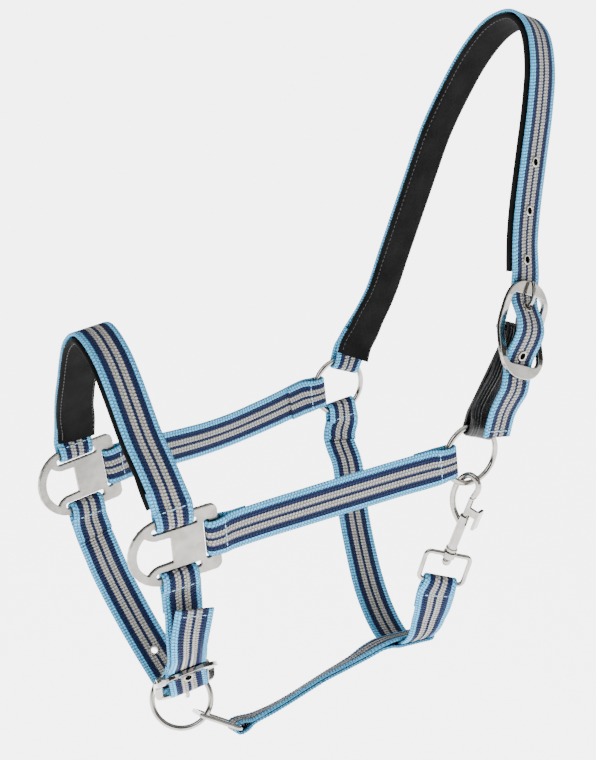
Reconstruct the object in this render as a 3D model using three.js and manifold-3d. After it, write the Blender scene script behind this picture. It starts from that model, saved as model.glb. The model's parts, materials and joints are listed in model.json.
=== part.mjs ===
// A one-inch webbing horse halter: padded noseband and crown, two cast halter squares, two cheek
// straps, an adjustable buckled chin strap carrying the lead ring, a throat strap with a bolt snap,
// and the connecting strap from the lead ring back to the throat.
// Millimetres. +X runs from the nose towards the poll, +Y to the horse's right, +Z up.
import * as THREE from 'three';
import { mergeVertices } from 'three/addons/utils/BufferGeometryUtils.js';
import Module from 'manifold-3d';

// ---- driving dimensions ----
const WEBBING_WIDTH = 25.4;
const WEBBING_THICK = 2.0;
const LINING_WIDTH = 27.4;
const LINING_THICK = 3.4;
const LEATHER_WIDTH = 25;
const LAYER_GAP = 0.3;
const TAIL_LENGTH = 22;
const RING_BORE = 35;
const RING_WIRE = 3.7;
const RING_RADIUS = (RING_BORE + RING_WIRE) / 2;
const SIDE_RING_Y = 80;
const LINK_WIRE = 3.2;
const LINK_INSIDE = 27;
const EYELET_BORE = 4.4;
const EYELET_BARREL = 5.2;
const EYELET_FLANGE = 7.4;
const EYELET_FLAT = 4.3;
const BAR_RADIUS = 1.8;
const FRAME_LENGTH = 62.5;
const FRAME_WIDTH = 41;
const FRAME_THICK = 2.8;
const FRAME_BAND = 9;
const FRAME_RAIL = 5;

// The strap runs at this height over a buckle's bar axis where it passes under the end bands.
const UNDER_BAND = 3.6;
const OVER_BAR = 12;
const WINDOW_HALF = FRAME_LENGTH / 2 - FRAME_BAND;

// The halter hangs from the poll; the line through the side rings lies this far from the poll.
const RING_LINE = [-87.8, 0, -258.2];

// ---- materials ----
const material = (color, roughness, metalness) =>
  new THREE.MeshStandardMaterial({ color, roughness, metalness });
const WEBBING = material(0x4f86b0, 0.85, 0);
const LINING = material(0x1c1c1d, 0.9, 0);
const LEATHER = material(0x17171a, 0.4, 0);
const CAST = material(0xd9d5cf, 0.35, 1);
const CHROME = material(0xe4e2df, 0.15, 1);
const STEEL = material(0xb9b9b9, 0.3, 1);

// ---- small geometry helpers ----
const wasm = await Module();
wasm.setup();

const vec = (x, y, z) => new THREE.Vector3(x, y, z);
const smooth = (x) => THREE.MathUtils.smoothstep(x, 0, 1);

function toSolid(geometry) {
  const plain = geometry.clone();
  plain.deleteAttribute('normal');
  plain.deleteAttribute('uv');
  const merged = mergeVertices(plain, 1e-4);
  return new wasm.Manifold(new wasm.Mesh({
    numProp: 3,
    vertProperties: merged.attributes.position.array,
    triVerts: new Uint32Array(merged.index.array),
  }));
}

function toGeometry(solid) {
  const mesh = solid.getMesh();
  const geometry = new THREE.BufferGeometry();
  geometry.setAttribute('position', new THREE.BufferAttribute(mesh.vertProperties, 3));
  geometry.setIndex(new THREE.BufferAttribute(mesh.triVerts, 1));
  return geometry;
}

const join = (...geometries) => toGeometry(geometries.map(toSolid).reduce((a, b) => a.add(b)));
const cut = (body, ...tools) => (
  toGeometry(tools.map(toSolid).reduce((a, b) => a.subtract(b), toSolid(body))));
const common = (a, b) => toGeometry(toSolid(a).intersect(toSolid(b)));

// A right-handed placement whose local axes are the given directions.
function placement(origin, x, y) {
  const ex = x.clone().normalize();
  const ez = ex.clone().cross(y).normalize();
  const ey = ez.clone().cross(ex);
  return new THREE.Matrix4().makeBasis(ex, ey, ez).setPosition(origin);
}

function roundBar(radius, from, to, sides = 16) {
  const axis = to.clone().sub(from);
  const bar = new THREE.CylinderGeometry(radius, radius, axis.length(), sides);
  const turn = new THREE.Quaternion().setFromUnitVectors(vec(0, 1, 0), axis.clone().normalize());
  bar.applyQuaternion(turn);
  const middle = from.clone().add(to).multiplyScalar(0.5);
  return bar.translate(middle.x, middle.y, middle.z);
}

const disc = (radius, sides) => {
  const shape = new THREE.Shape();
  for (let i = 0; i < sides; i++) {
    const a = 2 * Math.PI * i / sides;
    shape[i ? 'lineTo' : 'moveTo'](radius * Math.cos(a), radius * Math.sin(a));
  }
  shape.closePath();
  return shape;
};

function tubeAlong(curve, radius, steps, sides = 10) {
  return new THREE.ExtrudeGeometry(disc(radius, sides), { steps, extrudePath: curve, bevelEnabled: false });
}

function box(sx, sy, sz, x, y, z) {
  return new THREE.BoxGeometry(sx, sy, sz).translate(x, y, z);
}

// ---- straps ----
// A strap is swept along stations that each hold a point and the direction across the strap. The
// length of the direction is the share of the full width that the strap has there.
class StrapPath extends THREE.Curve {
  constructor(stations) {
    super();
    this.stations = stations;
  }

  getPoint(t) {
    return this.stations[Math.round(t * (this.stations.length - 1))].point.clone();
  }

  getSpacedPoints() {
    return this.stations.map((station) => station.point.clone());
  }

  computeFrenetFrames() {
    const frames = { tangents: [], normals: [], binormals: [] };
    const last = this.stations.length - 1;
    this.stations.forEach((station, i) => {
      const before = this.stations[Math.max(i - 1, 0)].point;
      const after = this.stations[Math.min(i + 1, last)].point;
      const tangent = after.clone().sub(before).normalize();
      const share = station.across.length();
      const across = station.across.clone().addScaledVector(tangent, -station.across.dot(tangent));
      across.normalize();
      frames.tangents.push(tangent);
      frames.binormals.push(tangent.clone().cross(across));
      frames.normals.push(across.multiplyScalar(share));
    });
    return frames;
  }
}

function sweep(stations, width, thick) {
  const section = new THREE.Shape([
    new THREE.Vector2(-width / 2, -thick / 2),
    new THREE.Vector2(width / 2, -thick / 2),
    new THREE.Vector2(width / 2, thick / 2),
    new THREE.Vector2(-width / 2, thick / 2),
  ]);
  const path = new StrapPath(stations);
  return new THREE.ExtrudeGeometry(section, {
    steps: stations.length - 1, extrudePath: path, bevelEnabled: false,
  });
}

// The line that a strap follows: points with the direction across the strap at each.
class StrapLine {
  constructor(points) {
    this.curve = new THREE.CatmullRomCurve3(points.map((p) => p.point), false, 'centripetal');
    this.curve.arcLengthDivisions = 800;
    this.points = points;
    this.length = this.curve.getLength();
  }

  // The frame at arc length s. Past either end the line runs on straight.
  at(s) {
    const inside = THREE.MathUtils.clamp(s / this.length, 0, 1);
    const t = this.curve.getUtoTmapping(inside);
    const point = this.curve.getPoint(t);
    const along = this.curve.getTangent(t);
    point.addScaledVector(along, s - inside * this.length);
    const place = t * (this.points.length - 1);
    const i = Math.min(Math.floor(place), this.points.length - 2);
    const across = this.points[i].across.clone().lerp(this.points[i + 1].across, place - i);
    across.addScaledVector(along, -across.dot(along)).normalize();
    return { point, across, out: along.clone().cross(across) };
  }

  // The arc length of the point of the line nearest to a control point.
  lengthTo(index) {
    return this.curve.getLengths(800)[Math.round(800 * index / (this.points.length - 1))];
  }
}

const P = (x, y, z, across) => ({ point: vec(x, y, z), across: vec(...across) });

// A fold of strap round a bar, in (distance from the bar along the strap, height off the mid line).
// front and back bound the straight part of the hollow, rise is the height of each layer's middle.
const foldRound = (halfBar, halfThick, thick, front = halfBar, neck = 9) => ({
  rise: halfThick + 0.35 + thick / 2,
  front: front - halfThick,
  back: halfBar + 0.3,
  neck,
  thick,
});
const RING_FOLD = {
  rise: RING_WIRE / 2 + 0.35 + WEBBING_THICK / 2, front: 3.75, back: 2.2, neck: 10,
  thick: WEBBING_THICK, narrow: 0.85,
};

const layerHeight = (thick) => (thick + LAYER_GAP) / 2;

// Height of the outer layer at distance q from the bar.
function layerProfile(fold, q) {
  const low = layerHeight(fold.thick);
  const u = THREE.MathUtils.clamp((q - fold.back) / fold.neck, 0, 1);
  return fold.rise + (low - fold.rise) * smooth(u);
}

// Share of the full width at distance q from the bar.
function widthShare(fold, q) {
  if (!fold || !fold.narrow) return 1;
  return fold.narrow + (1 - fold.narrow) * smooth((q + 2) / 14);
}

// Stations from the end of the tail, round the bar and out to the end of the neck.
function foldStations(line, barAt, direction, fold, tail) {
  const list = [];
  const place = (q, h) => {
    const frame = line.at(barAt + direction * q);
    const across = frame.across.clone().multiplyScalar(widthShare(fold, q));
    list.push({ point: frame.point.clone().addScaledVector(frame.out, h), across });
  };
  const neckEnd = fold.back + fold.neck;
  const neckSteps = 6;
  place(tail, -layerHeight(fold.thick));
  if (tail - neckEnd > 8) place((tail + neckEnd) / 2, -layerHeight(fold.thick));
  for (let i = neckSteps; i >= 0; i--) {
    const q = fold.back + fold.neck * i / neckSteps;
    place(q, -layerProfile(fold, q));
  }
  const turns = 8;
  for (let i = 0; i <= turns; i++) {
    const a = -Math.PI / 2 + Math.PI * i / turns;
    place(-fold.front - fold.rise * Math.cos(a), fold.rise * Math.sin(a));
  }
  for (let i = 0; i <= neckSteps; i++) {
    const q = fold.back + fold.neck * i / neckSteps;
    place(q, layerProfile(fold, q));
  }
  return list;
}

// The middle of the outer layer between the necks: it settles on the mid line past the tails.
function runHeight(q, fold, tail) {
  if (!fold) return 0;
  return layerHeight(fold.thick) * (1 - smooth((q - tail) / 12));
}

// Places along a strap every step or so, with a flat stretch left at each eyelet.
function placesAlong(from, to, step, eyelets) {
  const count = Math.max(2, Math.round((to - from) / step));
  const places = [];
  for (let i = 0; i <= count; i++) {
    const s = from + (to - from) * i / count;
    if (!eyelets.some((hole) => Math.abs(s - hole) < EYELET_FLAT + 1)) places.push(s);
  }
  eyelets.forEach((hole) => places.push(hole - EYELET_FLAT, hole + EYELET_FLAT));
  return places.sort((a, b) => a - b);
}

// A whole strap. start and end are folds round the bars at the two ends of the line, or null for a
// cut end.
function strap(line, { start = null, end = null, step = 12, tail = TAIL_LENGTH, endTail = tail,
  width = WEBBING_WIDTH, thick = WEBBING_THICK, eyelets = [] }) {
  const list = start ? foldStations(line, 0, 1, start, tail) : [];
  const from = start ? start.back + start.neck : 0;
  const to = line.length - (end ? end.back + end.neck : 0);
  const places = placesAlong(from, to, step, eyelets);
  for (const s of places.slice(start ? 1 : 0, end ? -1 : undefined)) {
    const frame = line.at(s);
    const height = runHeight(s, start, tail) + runHeight(line.length - s, end, endTail);
    const share = Math.min(widthShare(start, s), widthShare(end, line.length - s));
    list.push({
      point: frame.point.clone().addScaledVector(frame.out, height),
      across: frame.across.clone().multiplyScalar(share),
    });
  }
  if (end) list.push(...foldStations(line, line.length, -1, end, endTail).reverse());
  return sweep(list, width, thick);
}

// The padded lining inside a strap: it lies against the tails near the bars and against the strap
// between them. start and end are the distances from the two ends of the line.
function lining(line, from, to, folds, steps, gap = 0.4) {
  const list = [];
  const base = WEBBING_THICK / 2 + gap + LINING_THICK / 2;
  const depth = (q, fold) => {
    if (!fold) return base;
    const doubled = layerProfile(fold, q) + base;
    return THREE.MathUtils.lerp(doubled, base, smooth((q - TAIL_LENGTH - 2) / 12));
  };
  for (let i = 0; i <= steps; i++) {
    const s = from + (line.length - from - to) * i / steps;
    const frame = line.at(s);
    const height = -Math.max(depth(s, folds[0]), depth(line.length - s, folds[1]));
    list.push({ point: frame.point.clone().addScaledVector(frame.out, height), across: frame.across });
  }
  return sweep(list, LINING_WIDTH, LINING_THICK);
}

// ---- rings, links and squares ----
function ring(radius, wire, tube = 40, sides = 8) {
  return new THREE.TorusGeometry(radius, wire / 2, sides, tube);
}

// A rectangle of round wire with rounded corners, in the XY plane, centred.
function wireRectangle(width, height, wire, corner) {
  const outline = new THREE.Path();
  const x = width / 2;
  const y = height / 2;
  outline.moveTo(0, -y);
  outline.lineTo(x - corner, -y);
  outline.absarc(x - corner, -y + corner, corner, -Math.PI / 2, 0);
  outline.lineTo(x, y - corner);
  outline.absarc(x - corner, y - corner, corner, 0, Math.PI / 2);
  outline.lineTo(0, y);
  const right = outline.getPoints(5).map((p) => vec(p.x, p.y, 0));
  const unique = right.filter((p, i) => !i || p.distanceTo(right[i - 1]) > 0.01);
  unique[0].x = -0.4;
  unique[unique.length - 1].x = -0.4;
  const acrossWire = (points) => points.map((point, i) => {
    const before = points[Math.max(i - 1, 0)];
    const after = points[Math.min(i + 1, points.length - 1)];
    const tangent = after.clone().sub(before).normalize();
    return { point, across: vec(0, 0, 1).cross(tangent) };
  });
  const half = (points) => new THREE.ExtrudeGeometry(disc(wire / 2, 10), {
    steps: points.length - 1, extrudePath: new StrapPath(acrossWire(points)), bevelEnabled: false,
  });
  const left = unique.map((p) => vec(-p.x, p.y, 0)).reverse();
  return join(half(unique), half(left));
}

const SQUARE = {
  thick: 3, half: 22.3, left: -38.8, right: 20.2, slotHalf: 14.8, slotMiddle: -7.7, slotIn: 13.2,
  slotOut: 17.2, sideSlotIn: 10.3, sideSlotOut: 14.3, sideSlotHalf: 13.1,
};
const SQUARE_BAR = (SQUARE.half - SQUARE.slotOut) / 2;
const SIDE_BAR = (SQUARE.right - SQUARE.sideSlotOut) / 2;
const SQUARE_BAR_V = (SQUARE.half + SQUARE.slotOut) / 2;
const SQUARE_BAR_U = (SQUARE.right + SQUARE.sideSlotOut) / 2;
const SQUARE_FOLD = { ...foldRound(SQUARE_BAR, 2.0, WEBBING_THICK, 3.0), narrow: 0.93 };
const SIDE_FOLD = { ...foldRound(SIDE_BAR, 2.0, WEBBING_THICK, 3.4), narrow: 0.93 };

function slotHole(x0, x1, y0, y1, radius) {
  const hole = new THREE.Path();
  hole.moveTo(x0 + radius, y0);
  hole.lineTo(x1 - radius, y0);
  hole.absarc(x1 - radius, y0 + radius, radius, -Math.PI / 2, 0);
  hole.lineTo(x1, y1 - radius);
  hole.absarc(x1 - radius, y1 - radius, radius, 0, Math.PI / 2);
  hole.lineTo(x0 + radius, y1);
  hole.absarc(x0 + radius, y1 - radius, radius, Math.PI / 2, Math.PI);
  hole.lineTo(x0, y0 + radius);
  hole.absarc(x0 + radius, y0 + radius, radius, Math.PI, 1.5 * Math.PI);
  return hole;
}

// The cast halter square: a plate with a slot along its top, back and bottom edges and a D-shaped
// loop towards the nose. Local X points back, local Y up, local Z out of the plate.
function square() {
  const q = SQUARE;
  const bow = 22.3;
  const bowX = q.left + bow;
  const outline = new THREE.Shape();
  outline.moveTo(bowX, -q.half);
  outline.lineTo(q.right - 4.5, -q.half);
  outline.absarc(q.right - 4.5, -q.half + 4.5, 4.5, -Math.PI / 2, 0);
  outline.lineTo(q.right, q.half - 4.5);
  outline.absarc(q.right - 4.5, q.half - 4.5, 4.5, 0, Math.PI / 2);
  outline.lineTo(bowX, q.half);
  outline.absarc(bowX, 0, bow, Math.PI / 2, 1.5 * Math.PI);
  const left = q.slotMiddle - q.slotHalf;
  const right = q.slotMiddle + q.slotHalf;
  outline.holes.push(slotHole(left, right, q.slotIn, q.slotOut, 1.6));
  outline.holes.push(slotHole(left, right, -q.slotOut, -q.slotIn, 1.6));
  outline.holes.push(slotHole(q.sideSlotIn, q.sideSlotOut, -q.sideSlotHalf, q.sideSlotHalf, 1.6));
  const d = new THREE.Path();
  d.moveTo(-10.5, -8.6);
  d.lineTo(-10.5, 8.6);
  d.lineTo(-20.5, 9.0);
  d.quadraticCurveTo(-25.5, 10.5, -27.5, 13.6);
  d.absarc(bowX, 0, bow - 5.4, 2.24, 2 * Math.PI - 2.24);
  d.quadraticCurveTo(-25.5, -10.5, -20.5, -9.0);
  outline.holes.push(d);
  const plate = new THREE.ExtrudeGeometry(outline, { depth: q.thick, bevelEnabled: false, curveSegments: 7 });
  return plate.translate(0, 0, -q.thick / 2);
}

// ---- buckles ----
// Local X runs across the strap, local Y along it towards the end band that the tongue rests on,
// local Z out. The origin is the middle of the centre bar's axis.
const bowHeight = (y) => 2.7 + 3.6 * smooth(Math.abs(y) / 21) + 0.7 * (y / 32) ** 2;

function buckleFrame() {
  const steps = 16;
  const side = new THREE.Shape();
  for (let i = 0; i <= steps; i++) {
    const y = FRAME_LENGTH * (i / steps - 0.5);
    side[i ? 'lineTo' : 'moveTo'](y, bowHeight(y) - FRAME_THICK / 2);
  }
  for (let i = steps; i >= 0; i--) {
    const y = FRAME_LENGTH * (i / steps - 0.5);
    side.lineTo(y, bowHeight(y) + FRAME_THICK / 2);
  }
  const slab = new THREE.ExtrudeGeometry(side, { depth: FRAME_WIDTH, bevelEnabled: false });
  slab.translate(0, 0, -FRAME_WIDTH / 2);
  slab.applyMatrix4(new THREE.Matrix4().makeBasis(vec(0, 1, 0), vec(0, 0, 1), vec(1, 0, 0)));
  const outline = new THREE.Shape();
  const x = FRAME_WIDTH / 2;
  const y = FRAME_LENGTH / 2;
  const corner = 18;
  outline.moveTo(-x + corner, -y);
  outline.lineTo(x - corner, -y);
  outline.absarc(x - corner, -y + corner, corner, -Math.PI / 2, 0);
  outline.absarc(x - corner, y - corner, corner, 0, Math.PI / 2);
  outline.absarc(-x + corner, y - corner, corner, Math.PI / 2, Math.PI);
  outline.absarc(-x + corner, -y + corner, corner, Math.PI, 1.5 * Math.PI);
  outline.holes.push(slotHole(-x + FRAME_RAIL, x - FRAME_RAIL, -WINDOW_HALF, WINDOW_HALF, 5));
  const prism = new THREE.ExtrudeGeometry(outline, { depth: 30, bevelEnabled: false, curveSegments: 6 });
  prism.translate(0, 0, -10);
  const reach = x - FRAME_RAIL + 2.5;
  const bar = roundBar(BAR_RADIUS, vec(-reach, 0, 0), vec(reach, 0, 0), 12);
  return join(common(slab, prism), bar);
}

const TONGUE_WIDTH = 2.6;
const TONGUE_POINTS = [
  [3.2, 0.2], [8, 0.4], [11.8, 2], [13.7, 4.6], [15.2, 7.8],
  [17, 10.3], [20.5, 11.7], [26, 11.6], [31, 10.2],
];

function buckleTongue() {
  const points = TONGUE_POINTS.map(([y, z]) => vec(0, y, z));
  const curve = new THREE.CatmullRomCurve3(points, false, 'centripetal');
  const stations = curve.getSpacedPoints(18).map((point, i) => (
    { point, across: vec(1 - 0.35 * smooth((i - 9) / 9), 0, 0) }));
  const shank = sweep(stations, TONGUE_WIDTH, 1.9);
  const eye = new THREE.CylinderGeometry(3.9, 3.9, 4, 20).rotateZ(Math.PI / 2);
  const bore = new THREE.CylinderGeometry(BAR_RADIUS + 0.2, BAR_RADIUS + 0.2, 6, 20).rotateZ(Math.PI / 2);
  return cut(join(eye, shank), bore);
}

// The strap's way through a buckle as control points, from the tongue's band to the other one.
function throughBuckle(matrix, across, from, to) {
  const points = [];
  const add = (y, z) => points.push({ point: vec(0, y, z).applyMatrix4(matrix), across: across.clone() });
  add(from, UNDER_BAND);
  add(28.5, UNDER_BAND);
  for (const y of [23, 17.5, 11.5, 5.5, 0, -5.5, -11.5, -17.5, -23]) {
    add(y, UNDER_BAND + (OVER_BAR - UNDER_BAND) * 0.5 * (1 + Math.cos(Math.PI * y / 23)));
  }
  add(-28.5, UNDER_BAND);
  add(to, UNDER_BAND);
  return points;
}

// The slot in an anchor strap's fold that the tongue's eye turns in.
function tongueSlot(matrix) {
  return box(5.2, 16, 16, 0, 0.5, 0).applyMatrix4(matrix);
}

function eyelet() {
  const grip = WEBBING_THICK / 2 + 0.3;
  const bore = EYELET_BORE / 2;
  const barrel = EYELET_BARREL / 2;
  const flange = EYELET_FLANGE / 2;
  const lip = grip + 0.5;
  const profile = [
    [bore, -lip], [flange - 0.5, -lip], [flange, -grip], [barrel, -grip], [barrel, grip],
    [flange, grip], [flange - 0.5, lip], [bore, lip], [bore, -lip],
  ].map(([r, z]) => new THREE.Vector2(r, z));
  return new THREE.LatheGeometry(profile, 14).rotateX(Math.PI / 2);
}

// ---- layout, measured from the middle of the line through the side rings ----
const ringPoint = (angle, y) => {
  const a = THREE.MathUtils.degToRad(angle);
  return vec(RING_RADIUS * Math.cos(a), y, RING_RADIUS * Math.sin(a));
};
const CROWN_ANGLE = 70;
const CHEEK_ANGLE = 187;
const THROAT_ANGLE = 278;

const NEAR_SQUARE = placement(
  vec(-196.5, -67.5, -22.5), vec(0.991, -0.061, 0.122), vec(-0.12, -0.085, 0.987));
const FAR_SQUARE = placement(vec(-198.7, 69, -23.6), vec(0.985, 0.12, 0.122), vec(-0.12, 0.085, 0.987));
const onSquare = (matrix, u, v) => vec(u, v, 0).applyMatrix4(matrix);
const axisOf = (matrix, column) => new THREE.Vector3().setFromMatrixColumn(matrix, column);

const CROWN_BUCKLE = placement(vec(32, -80.8, 77.7), vec(0.925, 0.12, -0.36), vec(0.35, 0.32, 0.88));
const CHIN_BUCKLE = placement(vec(-181, -24.8, -131), vec(-0.957, 0.178, -0.229), vec(0.286, 0.706, -0.649));

const CHIN_RING_CENTRE = vec(-170.2, -0.3, -165.6);
const CHIN_RING_PLACE = placement(CHIN_RING_CENTRE, vec(0.885, -0.463, -0.016), vec(0.143, 0.241, 0.956));

// The straight end of a strap's line: it leaves a bar squarely for a short way.
const leaving = (bar, direction, across) => [0, 4, 8].map((reach) => (
  { point: bar.clone().addScaledVector(direction, reach), across: across.clone() }));

function cheekLine(side) {
  const matrix = side < 0 ? NEAR_SQUARE : FAR_SQUARE;
  const from = onSquare(matrix, SQUARE_BAR_U, 0);
  const to = ringPoint(CHEEK_ANGLE, side * SIDE_RING_Y);
  const a = THREE.MathUtils.degToRad(CHEEK_ANGLE);
  const up = axisOf(matrix, 1).multiplyScalar(-side);
  const tangential = vec(Math.sin(a), 0, -Math.cos(a)).multiplyScalar(-side);
  const radial = vec(Math.cos(a), 0, Math.sin(a));
  const lean = (side < 0 ? vec(0.02, 0, 1) : vec(0, -0.16, 1)).multiplyScalar(-side);
  return new StrapLine([
    ...leaving(from, axisOf(matrix, 0), up),
    { point: from.clone().lerp(to, 0.5).add(vec(0, 0, side < 0 ? 0 : -5)), across: lean },
    ...leaving(to, radial, tangential).reverse(),
  ]);
}

function nosebandLine() {
  const nearBar = onSquare(NEAR_SQUARE, SQUARE.slotMiddle, SQUARE_BAR_V);
  const farBar = onSquare(FAR_SQUARE, SQUARE.slotMiddle, SQUARE_BAR_V);
  const across = [0.985, 0.11, 0.115];
  const near = [[67.6, 13.5], [62.2, 27], [52, 43], [42.5, 58.5], [34, 72], [24, 84.5], [11, 93.5]];
  const far = [[68.3, 13.5], [61.5, 27], [51, 43], [41, 58.5], [33, 72], [23.5, 84.5], [11, 93.5]];
  const lean = (z) => -210.5 - 0.116 * (z + 7) + 3 * (1 - smooth((z - 4) / 45));
  const side = (sign) => (sign < 0 ? near : far).map(([y, z]) => P(lean(z), sign * y, z, across));
  return new StrapLine([
    ...leaving(farBar, axisOf(FAR_SQUARE, 1), axisOf(FAR_SQUARE, 0)),
    ...side(1),
    P(lean(96.5), 0, 96.5, across),
    ...side(-1).reverse(),
    ...leaving(nearBar, axisOf(NEAR_SQUARE, 1), axisOf(NEAR_SQUARE, 0)).reverse(),
  ]);
}

const CROWN_ACROSS = [0.925, 0.2, -0.32];
function crownLine() {
  const far = [
    [28.5, 73.8, 66.4], [37.2, 70.2, 95.3], [45.4, 66.2, 124], [53.8, 62.4, 152.7], [61.8, 57.4, 181.8],
    [72, 50, 210.7], [80.7, 39, 236.5], [87, 22, 256],
  ];
  const near = [
    [87.3, -19.2, 256], [81.2, -34.2, 236.5], [73, -44, 210.7], [63.4, -51.9, 180.5], [53.4, -60.2, 149],
    [47.2, -67, 130],
  ];
  const points = (list) => list.map(([x, y, z]) => P(x, y, z, CROWN_ACROSS));
  const radial = ringPoint(CROWN_ANGLE, SIDE_RING_Y);
  const a = THREE.MathUtils.degToRad(CROWN_ANGLE);
  const tangential = vec(Math.sin(a), 0, -Math.cos(a));
  const down = throughBuckle(CROWN_BUCKLE, axisOf(CROWN_BUCKLE, 0), 36, -36);
  return new StrapLine([
    ...leaving(radial, vec(Math.cos(a), 0, Math.sin(a)), tangential),
    ...points(far),
    P(89.6, 0, 263.4, CROWN_ACROSS),
    ...points(near),
    ...down,
    P(14.3, -93.3, 30, CROWN_ACROSS),
    P(10.5, -92.5, 14, CROWN_ACROSS),
  ]);
}

const LEATHER_THICK = 2;
const LEATHER_BAR_FOLD = foldRound(BAR_RADIUS, BAR_RADIUS, LEATHER_THICK, BAR_RADIUS, 8);
const LEATHER_RING_FOLD = { ...RING_FOLD, thick: LEATHER_THICK };
function leatherLine() {
  const a = THREE.MathUtils.degToRad(CROWN_ANGLE);
  const from = ringPoint(CROWN_ANGLE, -SIDE_RING_Y);
  const tangential = vec(-Math.sin(a), 0, Math.cos(a));
  const bar = vec(0, 0, 0).applyMatrix4(CROWN_BUCKLE);
  const across = axisOf(CROWN_BUCKLE, 0).negate();
  return new StrapLine([
    ...leaving(from, vec(Math.cos(a), 0, Math.sin(a)), tangential),
    ...leaving(bar, axisOf(CROWN_BUCKLE, 1).negate(), across).reverse(),
  ]);
}

const NEAR_CHIN_BAR = onSquare(NEAR_SQUARE, SQUARE.slotMiddle, -SQUARE_BAR_V);
const FAR_CHIN_BAR = onSquare(FAR_SQUARE, SQUARE.slotMiddle, -SQUARE_BAR_V);
const CHIN_ACROSS = [0.966, 0, 0.26];
const CHIN_BAR_FOLD = foldRound(BAR_RADIUS, BAR_RADIUS, WEBBING_THICK, BAR_RADIUS, 8);
function nearChinLine() {
  const across = axisOf(CHIN_BUCKLE, 0).negate();
  return new StrapLine([
    ...leaving(NEAR_CHIN_BAR, axisOf(NEAR_SQUARE, 1).negate(), axisOf(NEAR_SQUARE, 0)),
    P(-200.2, -66.2, -68, [0.98, 0, 0.2]),
    P(-199, -65, -82, CHIN_ACROSS),
    P(-196, -59.8, -97, CHIN_ACROSS),
    { point: vec(0, -37, 0).applyMatrix4(CHIN_BUCKLE), across },
    { point: vec(0, -24, 0).applyMatrix4(CHIN_BUCKLE), across },
    ...leaving(vec(0, 0, 0).applyMatrix4(CHIN_BUCKLE), axisOf(CHIN_BUCKLE, 1).negate(), across).reverse(),
  ]);
}

function farChinLine() {
  const across = axisOf(CHIN_BUCKLE, 0);
  const back = CHIN_ACROSS.map((c) => -c);
  return new StrapLine([
    ...leaving(FAR_CHIN_BAR, axisOf(FAR_SQUARE, 1).negate(), axisOf(FAR_SQUARE, 0).negate()),
    P(-194, 61.8, -83, back),
    P(-187, 58.5, -103, back),
    P(-179.8, 48, -124.5, back),
    P(-174.5, 34, -141.5, back),
    P(-171, 18.5, -154, back),
    P(-170.6, 7.5, -158, [-0.97, 0.1, -0.2]),
    ...throughBuckle(CHIN_BUCKLE, across, 33.5, -36),
    P(-197.6, -68, -95, back),
    P(-200, -75, -79, [-0.98, 0.1, -0.15]),
    P(-198.5, -78.5, -60.5, [-0.99, 0.1, -0.1]),
  ]);
}

// Throat strap: far ring, under the throat, up to the snap's loop on the near side.
const LOOP_BAR = vec(-11.9, -67, -91.4);
const SWIVEL = vec(-8.5, -72, -70.7);
const LOOP_RISE = SWIVEL.clone().sub(LOOP_BAR);
const LOOP_ACROSS = vec(0.85, -0.36, -0.4).projectOnPlane(LOOP_RISE.clone().normalize());
const LOOP_PLACE = placement(LOOP_BAR, LOOP_ACROSS, LOOP_RISE);
const LOOP_HEIGHT = SWIVEL.distanceTo(LOOP_BAR);
const LOOP_FOLD = { ...foldRound(LINK_WIRE / 2, LINK_WIRE / 2, WEBBING_THICK), narrow: 0.87 };
function throatLine() {
  const a = THREE.MathUtils.degToRad(THROAT_ANGLE);
  const from = ringPoint(THROAT_ANGLE, SIDE_RING_Y);
  const tangential = vec(Math.sin(a), 0, -Math.cos(a));
  const across = axisOf(LOOP_PLACE, 0).negate();
  const flat = [-1, 0, 0.03];
  return new StrapLine([
    ...leaving(from, vec(Math.cos(a), 0, Math.sin(a)), tangential),
    P(0.3, 77.8, -38, [-0.995, 0, 0.1]),
    P(0.8, 67.2, -57, [-0.995, 0, 0.1]),
    P(-3.6, 53, -84, [-0.995, 0, 0.1]),
    P(-7.5, 36, -109, [-0.995, 0, 0.1]),
    P(-10.8, 18, -130.6, flat),
    P(-12.4, 3, -143.6, flat),
    P(-13, -8, -150.6, flat),
    P(-13.2, -15, -153.2, flat),
    P(-13.2, -20, -152.7, flat),
    P(-13.2, -26, -150.35, flat),
    P(-13.2, -32, -148, flat),
    P(-13.2, -38, -145.65, flat),
    P(-13.2, -44, -143.3, flat),
    P(-12.8, -51.5, -135.5, flat),
    P(-12.3, -57.5, -120, [-0.97, 0.2, 0.1]),
    ...leaving(LOOP_BAR, axisOf(LOOP_PLACE, 1).negate(), across).reverse(),
  ]);
}

// The link between the lead ring and the connecting strap.
const LINK_DEPTH = 28;
const LINK_FRONT = vec(-161.9, -7.4, -174.9);
const LINK_ACROSS = vec(-0.235, -0.9, 0.366);
const LINK_BACKWARD = vec(0.832, -0.381, -0.403);
const LINK_PLACE = placement(
  LINK_FRONT.clone().addScaledVector(LINK_BACKWARD.clone().normalize(), LINK_DEPTH),
  LINK_ACROSS, LINK_BACKWARD);
const LINK_FOLD = { ...foldRound(LINK_WIRE / 2 + 0.25, LINK_WIRE / 2 + 0.25, WEBBING_THICK), narrow: 0.85 };

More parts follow.
